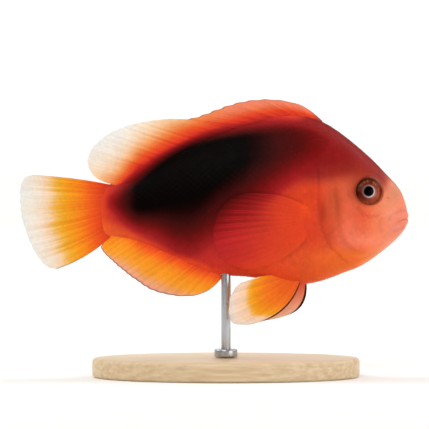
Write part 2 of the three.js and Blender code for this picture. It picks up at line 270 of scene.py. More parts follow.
def saddleAt(behind, above):
    low, top = (between(name, behind, above) for name in ("saddleLow", "saddleTop"))
    lobe = 1 - (1 - low) ** 1.55  # darkens sooner, for the lobe above the anal fin
    low, top = (0.5 * share + 0.5 * ease(0, 1, share) for share in (low, top))
    low = low + (lobe - low) * ease(0.6, 0.7, behind) * (1 - ease(0.72, 0.8, behind))
    return low * top * levelAt(behind, coat["saddleLength"])


def underSaddle(colour, behind, above):
    dark = saddleAt(behind, above)
    return np.minimum(colour, over(colour, ease(0, 0.22, dark), ramp(dark, coat["saddle"])))


def markings(behind, above):
    colour = ramp(behind, coat["side"])
    colour = over(colour, ease(0, 1, between("belly", behind, above)), ramp(behind, coat["belly"]))
    hood = between("hood", behind, above)
    strength = ease(0, 0.6, hood) * ease(0.03, 0.1, behind) * (1 - ease(0.55, 0.7, behind))
    strength = strength * (1 - ease(0.3, 0.38, behind) * ease(0.295, 0.32, above))  # clear on the crest
    colour = over(colour, strength, ramp(hood, coat["hood"]))
    # along the lower edge of the rear belly: its orange, lightened as painted light against the shade where
    # the belly turns under
    hem = ease(0.032, 0, above - bellyAt(behind)) * ease(0.55, 0.64, behind)
    colour = over(colour, 0.9 * hem * (1 - 0.75 * ease(0.68, 0.82, behind)), "FA5A2C")
    for *spot, code, strength in coat["sprays"].values():
        b, a, along, up = (share / 1000 for share in spot)
        weight = bell(behind - b, along) * bell(above - a, up)
        colour = over(colour, strength * weight, code)
    # painted shade: a dark line along the ridge of the forehead, for the darkening along its outline
    foreheadRimShade = ease(0.009, 0.002, backAt(behind) - above)
    foreheadRimShade = foreheadRimShade * ease(0.01, 0.06, behind) * (1 - ease(0.25, 0.3, behind))
    return over(underSaddle(colour, behind, above), 0.7 * foreheadRimShade, "44191A")


def deselectAll():
    bpy.ops.object.select_all(action="DESELECT")


def added(name, add, **settings):  # a piece from one of Blender's own shapes
    deselectAll()
    add(**settings)
    piece = bpy.context.object
    piece.name = piece.data.name = name
    return piece


def placed(name, data):  # an object in the scene
    made = bpy.data.objects.new(name, data)
    bpy.context.scene.collection.objects.link(made)
    return made


def modify(piece, kind, **settings):
    modifier = piece.modifiers.new(kind, kind)
    for name, value in settings.items():
        setattr(modifier, name, value)
    bpy.ops.object.modifier_apply(modifier=modifier.name)


def vertexPlaces(piece):
    flat = np.empty(len(piece.data.vertices) * 3, np.float32)
    piece.data.vertices.foreach_get("co", flat)
    return flat.reshape(-1, 3).astype(float)


def placeVertices(piece, places):
    piece.data.vertices.foreach_set("co", np.ascontiguousarray(places, np.float32).ravel())
    piece.data.update()


sheenLift = 0.004  # what the sheen adds to a colour, taken off its pigment


def paint(piece, colours):
    layer = piece.data.attributes.new("coat", "FLOAT_COLOR", "POINT")
    rgba = np.ones((len(colours), 4), np.float32)
    rgba[:, :3] = np.maximum(linear(colours) - sheenLift, 0)
    layer.data.foreach_set("color", rgba.ravel())


def smoothShade(angle):
    bpy.ops.object.shade_smooth_by_angle(angle=math.radians(angle))


def finishPiece(piece, angle, material, slot, *nodes):  # smooth, but for edges above the angle
    bpy.ops.object.mode_set(mode="EDIT")
    bpy.ops.mesh.select_all(action="SELECT")
    bpy.ops.mesh.normals_make_consistent(inside=False)
    bpy.ops.object.mode_set(mode="OBJECT")
    smoothShade(angle)
    piece.data.materials.clear()
    piece.data.materials.append(material)
    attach(piece, "root")
    if nodes:
        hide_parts(*nodes)


def setUp(tree, made, values):  # sockets linked or given a value, and settings
    for name, value in values.items():
        if isinstance(value, bpy.types.NodeSocket):
            tree.links.new(value, made.inputs[name])
        elif name in made.inputs:
            made.inputs[name].default_value = value
        else:
            setattr(made, name, value)


def node(tree, kind, **values):
    made = tree.nodes.new("ShaderNode" + kind)
    setUp(tree, made, values)
    return made


def newMaterial(name, look):
    material = bpy.data.materials.new(name)
    material.use_nodes = True
    tree = material.node_tree
    shader = tree.nodes["Principled BSDF"]
    setUp(tree, shader, look)
    return material, tree, shader


def noiseAt(tree, scale, detail=4.0, rough=0.55, stretch=(1, 1, 1)):
    coords = node(tree, "TexCoord").outputs["Object"]
    place = node(tree, "Mapping", Vector=coords, Scale=stretch).outputs["Vector"]
    noise = node(tree, "TexNoise", Vector=place, Scale=scale, Detail=detail, Roughness=rough)
    return noise.outputs["Fac"]


def rangeOf(tree, value, low, high, fromLow=0.3, fromHigh=0.7):
    ends = {"From Min": fromLow, "From Max": fromHigh, "To Min": low, "To Max": high}
    return node(tree, "MapRange", Value=value, **ends).outputs["Result"]


def noiseRange(tree, detail, scale, low, high):
    return rangeOf(tree, noiseAt(tree, scale, detail), low, high)


def bumpOf(tree, shader, heights):  # (height, strength, distance), one on another
    under = {}
    for height, strength, distance in heights:
        bump = node(tree, "Bump", Height=height, Strength=strength, Distance=distance, **under)
        under = {"Normal": bump.outputs["Normal"]}
    setUp(tree, shader, under)


def tintMarks(tree, shader, amount):  # the painted markings, lighter and darker
    marks = node(tree, "Attribute", attribute_name="coat")
    tint = node(tree, "VectorMath", operation="SCALE", Vector=marks.outputs["Color"], Scale=amount)
    setUp(tree, shader, {"Base Color": tint.outputs["Vector"]})
    return marks.outputs["Fac"]


def coatMaterial(name, finish):
    # the painted markings, with a fine mottle, uneven gloss and fine relief
    material, tree, shader = newMaterial(name, finish["look"])
    mottle, cloud = noiseRange(tree, 5.0, *finish["mottle"]), noiseRange(tree, 3.0, *finish["cloud"])
    both = node(tree, "Math", operation="MULTIPLY")
    setUp(tree, both, {0: mottle, 1: cloud})
    brightness = tintMarks(tree, shader, both.outputs[0])
    # the black of the saddle is matt
    sheen = rangeOf(tree, brightness, *finish["sheen"], 0, 0.16)
    setUp(tree, shader, {"Specular IOR Level": sheen, "Roughness": noiseRange(tree, 3.0, *finish["gloss"])})
    bumpOf(tree, shader, [(noiseAt(tree, scale), strength, distance)
                          for scale, strength, distance in finish["relief"]])
    return material


skinFinish = {
    "look": {"Subsurface Weight": 0.1, "Subsurface Radius": (1.0, 0.35, 0.2), "Subsurface Scale": 0.0012,
             "IOR": 1.4},
    "sheen": (0.04, 0.17),
    "mottle": (900, 0.96, 1.04), "cloud": (130, 0.95, 1.05), "gloss": (400, 0.36, 0.5),
    "relief": [(600, 0.25, 0.0002), (2500, 0.2, 0.0001)],
}
scaleFinish = {**skinFinish, "relief": [(1500, 0.2, 0.0001), (4500, 0.12, 0.00005)]}
finFinish = {
    "look": {"Subsurface Weight": 0.25, "Subsurface Radius": (1.0, 0.5, 0.3), "Subsurface Scale": 0.0012,
             "IOR": 1.38},
    "sheen": (0.05, 0.15),
    "mottle": (1100, 0.95, 1.05), "cloud": (160, 0.96, 1.04), "gloss": (500, 0.4, 0.55),
    "relief": [(1800, 0.2, 0.0001)],
}
skinMaterial = coatMaterial("waxy_skin", skinFinish)
scaleMaterial = coatMaterial("thin_scales", scaleFinish)
finMaterial = coatMaterial("fin_webbing", finFinish)
print("materials of skin, scales and fins made")


skin = {
    "around": 288,
    "rings": 340,
    "crowding": 1.6,       # rings crowd towards the snout
    "flankShare": 0.2,     # points crowd towards the flanks
    "under": 0.14 * mm,    # below the outline, for the scales
    "thinsFrom": 0.9,      # the stalk thins into the tail fin, then closes inside it
    "closesFrom": 0.95,
}
eye = {
    "at": (0.1314, 0.0845),
    "sides": 96,
    "radius": 4.9 * mm,
    "halfDepth": 2.6 * mm,
    "sunk": 1.35 * mm,
    "forward": 0.24,       # turned, in radians
    "up": 0.24,
    "rim": 4.1 * mm,       # of the opening, with a low lid round it
    "lid": 0.3 * mm,
    "socket": 2.2 * mm,    # the skin's depth under the eyeball
}
# Each fold: how deep and how wide it is, in mm, how deep in shade, and its line in side view. Those
# less than 0 deep are rolls of flesh beside a crease.
folds = {
    "gape": (0.26, 0.26, 0.25, [(-10, 0), (0, -2), (24, -9), (40, -19), (54, -33)]),
    "upperLip": (-0.2, 0.62, 0, [(-10, 8), (4, 7.5), (27, 2), (46, -6), (60, -19)]),
    "lowerLip": (-0.18, 0.62, 0, [(-6, -11), (8, -14), (26, -21), (42, -32)]),
    "lipTop": (0.12, 0.5, 0.07, [(0, 24), (20, 21), (43, 15), (61, 3), (66, -14)]),
    "snoutRoll": (-0.2, 0.7, 0, [(20, 34), (50, 22), (74, 8), (83, -10), (82, -25)]),
    "lipFoot": (0.1, 0.42, 0.09, [(14, -26), (32, -36), (55, -44)]),
    "jawCorner": (0.18, 0.55, 0.065, [(85, 6), (94, -12), (94, -32), (86, -50)]),
    "underEye": (0.3, 0.7, 0.11, [(172, 50), (158, 22), (136, 7), (112, 5), (90, 16)]),
    "cheekEdge": (0.27, 0.7, 0.1, [(243, 120), (231, 45), (225, -12), (215, -60), (190, -94), (150, -108),
        (115, -104)]),
    "cheekRoll": (-0.2, 1.2, 0, [(228, 120), (216, 45), (210, -10), (200, -52), (178, -83), (145, -96)]),
    "gillSlit": (0.32, 0.5, 0.08, [(280, 175), (288, 140), (291, 55), (287, 8), (274, -46), (246, -96),
        (201, -137), (148, -163)]),
    "gillRim": (-0.34, 1.1, 0, [(262, 210), (272, 150), (276, 55), (272, 8), (259, -42), (233, -88),
        (192, -126), (142, -152)]),
    "gillPlate": (0.14, 0.4, 0.08, [(232, -30), (250, -46), (268, -52)]),
    "throat": (0.12, 0.4, 0.04, [(200, -124), (165, -132), (130, -118), (105, -100)]),
    "fleshBase": (-0.6, 1.5, 0, [(322, 28), (318, -8), (323, -44)]),
    "vent": (0.3, 0.35, 0.3, [(565, -182), (578, -181)]),
}
nostril = {"at": (0.068, 0.062), "radius": 0.3 * mm, "deep": 0.3 * mm, "rim": 0.1 * mm, "shade": 0.08}


def foldsAt(behind, above):
    # how far the skin is pushed out, and how deep in shade it lies
    out = np.zeros(np.shape(behind))
    shade = np.zeros(np.shape(behind))
    for name, (deep, wide, dark, places) in folds.items():
        reach = 3.2 * wide * mm / bodyLength
        low, high = np.min(places, axis=0) / 1000 - reach, np.max(places, axis=0) / 1000 + reach
        near = (behind > low[0]) & (behind < high[0]) & (above > low[1]) & (above < high[1])
        away, share = besideCurve(places, behind[near], above[near])
        ends = ease(0, 0.14, share) * ease(0, 0.14, 1 - share)
        if places[0][0] < 0:  # runs round the front of the snout
            ends = ease(0, 0.2, 1 - share)
        out[near] -= deep * mm * bell(away, wide * mm) * ends
        if name == "gape":
            dark = dark * (1 - share) ** 2
        shade[near] = np.maximum(shade[near], dark * bell(away, wide * 1.3 * mm) * ends)
    fromNostril = awayFrom(nostril, behind, above)
    out -= nostril["deep"] * bell(fromNostril, nostril["radius"])
    out += nostril["rim"] * bell(fromNostril - 1.9 * nostril["radius"], nostril["radius"] * 0.8)
    shade = np.maximum(shade, nostril["shade"] * bell(fromNostril, nostril["radius"]))
    fromEye = awayFrom(eye, behind, above)
    beyond = fromEye - eye["rim"]
    out += eye["lid"] * bell(beyond - 0.35 * mm, 0.55 * mm)
    out -= eye["socket"] * (1 - ease(-1.1 * mm, -0.1 * mm, beyond))
    # painted shade round the eye's rim, darker behind the eye
    backward = (behind - eye["at"][0]) * bodyLength / np.maximum(fromEye, mm)
    socket = (0.21 + 0.14 * backward) * bell(beyond - 0.1 * mm, 0.5 * mm)
    return out, np.maximum(shade, socket)


def ringToBehind(ring):
    return np.clip(ring, 0, 1) ** skin["crowding"]


def turnToAngle(turn):  # from 0 along the back, down the left flank, to 1
    angle = 2 * math.pi * turn
    return angle + skin["flankShare"] * np.sin(2 * angle)


def bareSection(ring, turn):
    behind, angle = ringToBehind(ring), turnToAngle(turn)
    rise, side = np.cos(angle), np.sin(angle)
    widest = widestAt(behind)
    reach = bodyLength * np.where(rise > 0, backAt(behind) - widest, widest - bellyAt(behind))
    reach = np.maximum(reach - skin["under"], 0)
    across = np.maximum(bodyLength * widthAt(behind) - skin["under"], 0)
    ridge = np.where(rise > 0, ridgeAt(behind), body["bellyRidge"])
    closing = np.sqrt(1 - np.clip((behind - skin["closesFrom"]) / (1 - skin["closesFrom"]), 0, 1) ** 2)
    reach, across = reach * closing, across * (1 - 0.9 * ease(skin["thinsFrom"], 1, behind))
    x = snoutX - behind * bodyLength - skin["under"] * (1 - 2 * behind)
    y = bendAt(x) + across * np.sign(side) * np.abs(side) ** ridge
    return np.stack([x, y, snoutZ + widest * bodyLength + reach * rise], -1)


def gridNormals(points):
    # rings run down the grid and turns across it, which closes on itself
    down = np.gradient(points, axis=0)
    wrapped = np.concatenate([points[:, -2:-1], points, points[:, 1:2]], axis=1)
    across = (wrapped[:, 2:] - wrapped[:, :-2]) / 2
    normals = np.cross(across, down)
    length = np.linalg.norm(normals, axis=-1, keepdims=True)
    normals /= np.maximum(length, 1e-12)
    normals[0] = (1, 0, 0)
    normals[-1] = (-1, 0, 0)
    return normals


ringShares = np.linspace(0, 1, skin["rings"] + 1)[:, None]
turnShares = np.linspace(0, 1, skin["around"] + 1)[None, :]
skinGrid = bareSection(*np.broadcast_arrays(ringShares, turnShares))
skinNormals = gridNormals(skinGrid)
skinBehind = (snoutX - skinGrid[..., 0]) / bodyLength
skinAbove = (skinGrid[..., 2] - snoutZ) / bodyLength
pushedOut, skinShade = foldsAt(skinBehind, skinAbove)
skinGrid = skinGrid + skinNormals * pushedOut[..., None]
skinNormals = gridNormals(skinGrid)


def onSkin(grid, ring, turn):  # a grid's value between its points
    r = np.clip(ring, 0, 1) * skin["rings"]
    t = np.mod(turn, 1) * skin["around"]
    r0 = np.minimum(r.astype(int), skin["rings"] - 1)
    t0 = np.minimum(t.astype(int), skin["around"] - 1)
    fr, ft = (r - r0)[..., None], (t - t0)[..., None]
    rows = [grid[r0 + k, t0] * (1 - ft) + grid[r0 + k, t0 + 1] * ft for k in (0, 1)]
    return rows[0] * (1 - fr) + rows[1] * fr


def skinValue(grid, ring, turn):
    return onSkin(grid[..., None], ring, turn)[..., 0]


def shaded(colour, shade):  # painted shade: creases are darker and redder
    return colour * (1 - 0.75 * shade[..., None]) + 0.1 * rgb("8A1A10") * shade[..., None]


def makeSkin():
    piece = added("skin", bpy.ops.mesh.primitive_uv_sphere_add,
                  segments=skin["around"], ring_count=skin["rings"], radius=1)
    unit = vertexPlaces(piece)
    ring = np.arccos(np.clip(unit[:, 2], -1, 1)) / math.pi
    turn = np.mod(np.arctan2(unit[:, 1], unit[:, 0]) / (2 * math.pi), 1)
    placeVertices(piece, onSkin(skinGrid, ring, turn))
    behind, above, shade = (skinValue(grid, ring, turn) for grid in (skinBehind, skinAbove, skinShade))
    paint(piece, shaded(markings(behind, above), shade))
    nodes = ("head", "lower_jaw", "gill_cover_right", "gill_cover_left", "trunk", "tail_stalk")
    finishPiece(piece, 180, skinMaterial, "skin_orange", *nodes)


makeSkin()
print("skin made")


scales = {
    "seed": 7,
    "from": 0.045,
    "trunkFrom": 0.285,
    "tailFrom": 0.66,
    "to": 0.955,
    "alongPitch": 1.15 * mm,
    "downPitch": 2.0 * mm,
    "length": 1.8 * mm,
    "width": 2.15 * mm,
    "ahead": 0.3,          # the share of a scale that is ahead of its place
    "lift": 0.09 * mm,     # of its free end
    "dome": 0.06 * mm,
    "sunk": 0.07 * mm,
    "tube": 0.07 * mm,     # of the lateral line, and its half width
    "tubeWidth": 0.9 * mm,
    "tint": 0.012,
    "size": {0: 500, 100: 560, 200: 680, 300: 860, 420: 1000, 750: 950, 900: 800, 1000: 700},
    "patch": 0.003,        # of the unwrap, across each scale
    "lateralLine": [(275, 238), (360, 262), (460, 256), (580, 226), (680, 186), (780, 142)],
}
# the rows of one plate, in shares of it: (towards the tail, half width)
plateRows = [(0.0, 0.66), (0.28, 0.92), (0.6, 1.0), (0.82, 0.94), (0.95, 0.74), (1.0, 0.42)]
plateColumns = np.linspace(-1, 1, 5)


def plateShape():
    along = np.array([[u - 0.05 * v * v * (u > 0.9) for v in plateColumns] for u, w in plateRows])
    across = np.array([[w * v for v in plateColumns] for u, w in plateRows])
    rows, columns = along.shape
    index = np.arange(rows * columns).reshape(rows, columns)
    quads = [(index[i, j], index[i, j + 1], index[i + 1, j + 1], index[i + 1, j])
             for i in range(rows - 1) for j in range(columns - 1)]
    rim = [*index[0, :-1], *index[:-1, -1], *index[-1, :0:-1], *index[:0:-1, 0]]
    low = {top: rows * columns + k for k, top in enumerate(rim)}
    skirt = [(a, low[a], low[b], b) for a, b in zip(rim, rim[1:] + rim[:1])]
    floor = tuple(low[top] for top in reversed(rim))
    return along, across, rim, quads, skirt, floor


def scaleRoots():
    # (ring, turn, size, side) of each scale, in rows along each flank that part at its half height
    roots = []
    behind = scales["from"]
    column = 0
    while behind < scales["to"]:
        size = levelAt(behind, scales["size"])
        ring = behind ** (1 / skin["crowding"])
        for side in (1, -1):
            turns = np.linspace(0, 0.5, 200)
            turns = turns if side > 0 else 1 - turns
            arc = onSkin(skinGrid, np.full(200, ring), np.mod(turns, 0.9999999))
            run = runAlong(arc)
            middle = run[np.argmin(np.abs(np.cos(turnToAngle(turns))))]
            pitch = scales["downPitch"] * size
            start = middle + (column % 2) * pitch / 2
            lowest, highest = math.ceil(-start / pitch), math.floor((run[-1] - start) / pitch)
            for k in range(lowest, highest + 1):
                roots.append((ring, np.interp(start + k * pitch, run, turns), size, side))
        behind += scales["alongPitch"] * size / bodyLength
        column += 1
    return np.array(roots)


def bareOfScales(behind, above, shade):
    # the snout, jaw and pectoral flesh, round the eye and in the creases
    fromEye = awayFrom(eye, behind, above)
    snout = behind < 0.08 + 0.5 * np.maximum(0, 0.05 - above)
    jaw = (behind < 0.2) & (above < -0.075 - 0.15 * behind)
    fleshBase = np.hypot((behind - 0.318) / 0.016, (above + 0.008) / 0.045) < 1
    return snout | jaw | fleshBase | (fromEye < eye["rim"] + 0.9 * mm) | (shade > 0.06)


def makeScales():
    random = np.random.default_rng(scales["seed"])
    roots = scaleRoots()
    ring, turn, size, side = roots.T
    turn = np.mod(turn, 1)
    behind, above = (skinValue(grid, ring, turn) for grid in (skinBehind, skinAbove))
    reach = scales["length"] * size / bodyLength
    under = [(behind + share * reach) ** (1 / skin["crowding"]) for share in (0, 0.35, 0.7)]
    shade = np.max([skinValue(skinShade, at, turn) for at in under], axis=0)
    keep = ~bareOfScales(behind, above, shade)
    ring, turn, size, side, behind, above = (v[keep] for v in (ring, turn, size, side, behind, above))
    # metres on the skin for each share of ring and turn
    step = 0.002
    sides = [(onSkin(skinGrid, ring + r, turn + t), onSkin(skinGrid, ring - r, turn - t))
             for r, t in ((step, 0), (0, step))]
    perRing, perTurn = (np.linalg.norm(far - near, axis=1) / (2 * step) for far, near in sides)
    along, across, rim, quads, skirt, floor = plateShape()
    jitter = random.uniform(0.94, 1.06, (len(ring), 2))
    away, _ = besideCurve(scales["lateralLine"], behind, above)
    tubed = bell(away, scales["tubeWidth"]) * (behind > 0.27) * (behind < 0.8)
    u, v = along.ravel(), across.ravel()
    length = (scales["length"] * size * jitter[:, 0])[:, None]
    half = (scales["width"] / 2 * size * jitter[:, 1])[:, None]
    ringOf = ring[:, None] + (u - scales["ahead"]) * length / perRing[:, None]
    turnOf = turn[:, None] + v * half / perTurn[:, None]
    height = scales["lift"] * u - scales["dome"] * v * v
    height = height + scales["tube"] * tubed[:, None] * bell(v, 0.3) * (u > 0.1)
    bold = 0.25 + 0.75 * ease(0.5, 1, size)[:, None]  # the small ones lie flatter
    height = height * bold
    on = onSkin(skinGrid, ringOf, turnOf)
    out = onSkin(skinNormals, ringOf, turnOf)
    top = on + out * height[..., None]
    low = (on - out * scales["sunk"])[:, rim]
    places = np.concatenate([top, low], axis=1)
    b, a = (skinValue(grid, ringOf, turnOf) for grid in (skinBehind, skinAbove))
    b, a = (np.concatenate([w, w[:, rim]], axis=1) for w in (b, a))
    u, v = (np.concatenate([w, w[rim]]) for w in (u, v))
    tint = 1 + scales["tint"] * random.standard_normal((len(ring), 1, 1))
    edge = ease(0.72, 1, u[None, :, None])
    colours = markings(b, a) * tint * (1.01 - 0.035 * bold[..., None] * edge)
    uv = np.stack([turn[:, None] + scales["patch"] / 2 * v,
                   1 - ring[:, None] - scales["patch"] * (u - 0.5)], -1)
    head = behind < scales["trunkFrom"]
    tail = behind > scales["tailFrom"]
    regions = {
        "scales_head": (head, "skin_orange"),
        "scales_trunk_right": (~head & ~tail & (side < 0), "skin_black"),
        "scales_trunk_left": (~head & ~tail & (side > 0), "skin_black"),
        "scales_tail": (tail, "skin_red"),
    }
    faces = quads + skirt + [floor]
    count = places.shape[1]
    for name, (chosen, slot) in regions.items():
        number = int(chosen.sum())
        mesh = bpy.data.meshes.new(name)
        allFaces = [tuple(int(corner) + k * count for corner in face)
                    for k in range(number) for face in faces]
        mesh.from_pydata(places[chosen].reshape(-1, 3), [], allFaces)
        piece = placed(name, mesh)
        paint(piece, colours[chosen].reshape(-1, 3))
        layer = mesh.uv_layers.new(name="OFBake")
        corners = np.empty(len(mesh.loops), np.int32)
        mesh.loops.foreach_get("vertex_index", corners)
        layer.data.foreach_set("uv", uv[chosen].reshape(-1, 2)[corners].astype(np.float32).ravel())
        deselectAll()
        piece.select_set(True)
        bpy.context.view_layer.objects.active = piece
        finishPiece(piece, 40, scaleMaterial, slot)
        print(name, number, "scales")


makeScales()


# Thick is half the thickness, in mm, of the root, the web, the rays and the foot of the first rays.
# Dip is how far the web falls short of the rays, in shares of their length.
fins = {
    "dorsal": {
        "from": 0.27, "to": 0.925, "lastSpine": 0.4, "fanning": 0.72,
        "spines": {"rays": 11, "columns": 16, "branching": False, "dip": 0.035, "seed": 11,
                   "thick": (0.7, 0.12, 0.08, 0.7)},
        "softRays": {"rays": 18, "rows": 48, "dip": 0.008, "seed": 12, "uneven": 0.004,
                     "thick": (0.5, 0.1, 0.035, 0.6)},
        "edge": [
            (274, 306), (300, 329), (325, 347), (359, 361), (410, 371), (460, 373), (511, 368.5), (561, 357),
            (612, 339), (662, 320), (700, 311), (763, 311), (814, 306), (864, 297), (915, 281), (965, 253),
            (995, 226), (1013, 197), (1016, 172), (1003, 140), (982, 121), (960, 112),
        ],
    },
    "anal": {
        "from": 0.594, "to": 0.937, "fanning": 0.52,
        "rays": 18, "dip": 0.012, "seed": 13, "uneven": 0.005, "thick": (0.5, 0.1, 0.035, 0.6),
        "edge": [
            (592, -194), (609, -213), (637, -234), (670, -246), (713, -250), (763, -244.5), (800, -235),
            (839, -215), (890, -178), (940, -136), (967, -108), (973, -94), (966, -84),
        ],
    },
    "tail": {
        "rays": 15, "rows": 60, "dip": 0.006, "bow": (-0.02, 0.06), "seed": 14, "uneven": 0.003,
        "thick": (0.45, 0.1, 0.03, 0),
        "root": [(925, 100), (940, 20), (925, -46)],
        "edge": [
            (1190, 133), (1213, 127), (1227, 105), (1231, 65), (1229, 20), (1219, -27), (1193, -95),
            (1167, -139), (1142, -160), (1113, -165),
        ],
    },
    "pectoral": {
        "rays": 19, "columns": 10, "dip": 0.012, "bow": (-0.07, 0.07), "seed": 15, "uneven": 0.006,
        "thick": (0.4, 0.06, 0.012, 0.2),
        "root": [(318, 33), (312, -8), (318, -50)],
        "edge": [
            (470, 78), (520, 77), (570, 55), (605, 10), (617, -50), (600, -105), (560, -145), (500, -160),
            (450, -147),
        ],
    },
    "pelvic": {
        "rays": 7, "columns": 22, "rows": 48, "dip": 0.01, "seed": 16, "uneven": 0.004,
        "thick": (0.55, 0.12, 0.05, 0.2),
        # the left one is held further forward, and shows its inner side
        "right": {"bow": (0.15, -0.06), "splay": 5, "leading": ("4A1510", 0.045, 0)},
        "left": {"bow": (0.29, -0.06), "splay": 10, "leading": ("2E0C12", 0.085, 1),
                 "hold": {"forward": 0.013, "turn": 0.09, "reach": 0.9}},
        "root": [(338, -185), (360, -183), (385, -180)],
        "edge": [
            (476, -327), (501, -334), (530, -335), (556, -331), (566, -314), (569, -286), (564, -248),
            (550, -220), (533, -205), (508, -198),
        ],
    },
}
ripple = {"size": 0.6 * mm, "turns": 5.5}
threadsPerWeb = 5      # fine streaks between two rays
rootDepth = 0.8 * mm   # how deep the upright fins start in the body


def rootAlong(lineAt, start, end, clear):
    steps = 8
    places = [start + (end - start) * k / steps for k in range(steps + 1)]
    return [(1000 * behind, 1000 * (lineAt(behind) + clear / bodyLength)) for behind in places]


def rayRidge(beside, height, branching):
    # the thickness of the ray at this place, beside its middle in ray pitches
    if not branching:
        return bell(beside, 0.2 * (1 - 0.45 * height))
    width = 0.13 * (1 - 0.5 * height)
    first = 0.15 * ease(0.3, 0.8, height)
    second = 0.07 * ease(0.6, 1, height)
    offsets = (first + second, first - second, -first + second, -first - second)
    return np.max([bell(beside - offset, width) for offset in offsets], axis=0)


def rippled(share, height, root, at):
    return ripple["size"] * height**2 * share * np.sin(ripple["turns"] * math.pi * share)


def makeFin(name, fin, colourOf, node, slot, sway=rippled):
    webs = fin["rays"] - 1
    piece = added(name, bpy.ops.mesh.primitive_grid_add,
                  x_subdivisions=webs * fin.get("columns", 14), y_subdivisions=fin.get("rows", 44), size=1)
    unit = vertexPlaces(piece) + 0.5
    across, height = unit[:, 0], unit[:, 1]
    low, high = fin.get("range", (0, 1))
    share = low + (high - low) * across
    beside = across * webs - np.round(across * webs)
    web = 0.5 - 0.5 * np.cos(2 * math.pi * beside)
    ridge = rayRidge(beside, height, fin.get("branching", True))
    random = np.random.default_rng(fin["seed"])
    lengths = random.uniform(-1, 1, fin["rays"] + 1)
    streak = np.interp(across * webs, np.arange(fin["rays"] + 1), lengths)
    count = webs * threadsPerWeb
    threads = random.uniform(-1, 1, count + 1)
    thread = 0.4 * streak + 0.8 * np.interp(across * count, np.arange(count + 1), threads)
    root = alongCurve(fin["root"])(share)
    edge = alongCurve(fin["edge"])(share ** fin.get("fanning", 1))
    ray = edge - root
    reach = height * (1 - fin["dip"] * web) * (1 + fin.get("uneven", 0) * streak * height)
    bow = fin.get("bow", (0, 0))
    curve = (bow[0] + (bow[1] - bow[0]) * share) * 4 * reach * (1 - reach)
    at = root + ray * reach[:, None] + np.stack([ray[:, 1], -ray[:, 0]], -1) * curve[:, None]
    hold = fin.get("hold", {"forward": 0, "turn": 0, "reach": 1})
    pivot = np.array(fin["root"][0]) / 1000
    off = (at - pivot) * hold["reach"]
    at = pivot + np.stack(turnedBy(-hold["turn"], off[:, 0], off[:, 1]), -1)
    at[:, 0] -= hold["forward"]
    x = snoutX - at[:, 0] * bodyLength
    y = bendAt(x) + sway(share, height, root, at)
    placeVertices(piece, np.stack([x, y, snoutZ + at[:, 1] * bodyLength], -1))
    paint(piece, colourOf(at[:, 0], at[:, 1], share, height, ridge, thread))
    rootHalf, webHalf, rayHalf, footHalf = fin["thick"]
    half = webHalf + (rootHalf - webHalf) * (1 - height) ** 2
    half = half + rayHalf * ridge * (1 - 0.85 * height)
    half = half + footHalf * np.exp(-height / 0.18) * (1 - 0.85 * share)
    half = half * (1 - 0.35 * ease(0.93, 1, height))
    group = piece.vertex_groups.new(name="thickness")
    for index, weight in enumerate(half / half.max()):
        group.add([index], float(weight), "REPLACE")
    modify(piece, "SOLIDIFY", thickness=2 * half.max() * mm, offset=0, vertex_group=group.name)
    piece.vertex_groups.clear()
    finishPiece(piece, 60, finMaterial, slot, node)


def streaked(colour, ridge, streak, contrast=0.05):
    return colour * (1 + contrast * (ridge - 0.45) + 0.4 * contrast * streak)[:, None]


finColours = {
    "dorsal": {
        -30: "A01C1E", -8: "C82820", 0: "DE3A24", 12: "EC4C26", 24: "EE602C", 34: "F17A3A", 44: "F28E50",
        55: "F6A468", 66: "F8B47E", 80: "F8C79E", 100: "F7D6BA", 125: "F6E2D0", 160: "F4E9E0", 200: "F0EDE9",
    },
    "anal": {
        -20: "E04226", 0: "F04E26", 12: "F65E22", 25: "FA7620", 42: "FC9024", 60: "FC9C22", 85: "FBA232",
        120: "EBA77F",
    },
    "tail": {
        940: "C82E22", 970: "E04420", 1000: "EE5C20", 1025: "F4741E", 1050: "F68C1E", 1075: "F49C20",
        1100: "EEA92A", 1120: "F0B85A", 1140: "F3CCA2", 1160: "F3D8C2", 1190: "EFE2D6", 1230: "E9E7E2",
    },
    "pectoral": {
        300: "EA4A22", 360: "E44622", 420: "DC4224", 480: "D43826", 530: "C92C28", 580: "BC2428",
        620: "AC1E26",
    },
    "pelvic": {
        0: "EC5A24", 250: "F26C22", 450: "F67F22", 600: "F99A1E", 690: "FAAC30", 760: "FCD0A6",
        900: "FBDAC6", 1000: "E9DCD2",
    },
    "pelvicInner": {0: "E8502A", 200: "F28A66", 450: "FAB89C", 750: "FBCEBA", 1000: "EBC4BA"},
}


def dorsalColour(behind, above, share, height, ridge, streak):
    beyond = above - coatLines["saddleTopFrom"](np.minimum(behind, 1))
    beyond = beyond + 0.035 * ease(0.84, 0.95, behind) + 0.006 * streak
    colour = ramp(beyond, finColours["dorsal"])
    spiny = 1 - ease(0.5, 0.72, behind)
    colour = over(colour, 0.9 * spiny * ease(0.3, 0.85, height), "F68C70")
    colour = underSaddle(colour, np.minimum(behind, 1), above)
    margin = np.maximum(ease(0.95, 0.99, height), 1 - ease(0, 0.03, share))
    colour = over(colour, 0.55 * (1 - ease(0.66, 0.8, behind)) * margin, "7A4038")
    return streaked(colour, ridge, streak, 0.05 * (1 - 0.6 * ease(0.5, 1, height)))


def analColour(behind, above, share, height, ridge, streak):
    below = bellyAt(np.minimum(behind, 1)) - above
    below = below + 0.035 * ease(0.82, 0.92, behind) + 0.005 * streak
    colour = ramp(below, finColours["anal"])
    colour = over(colour, 0.8 * ease(0.86, 0.97, height), "EBA68E")
    colour = over(colour, 0.75 * ease(0.965, 0.985, height), "6A3A36")
    return streaked(colour, ridge, streak)


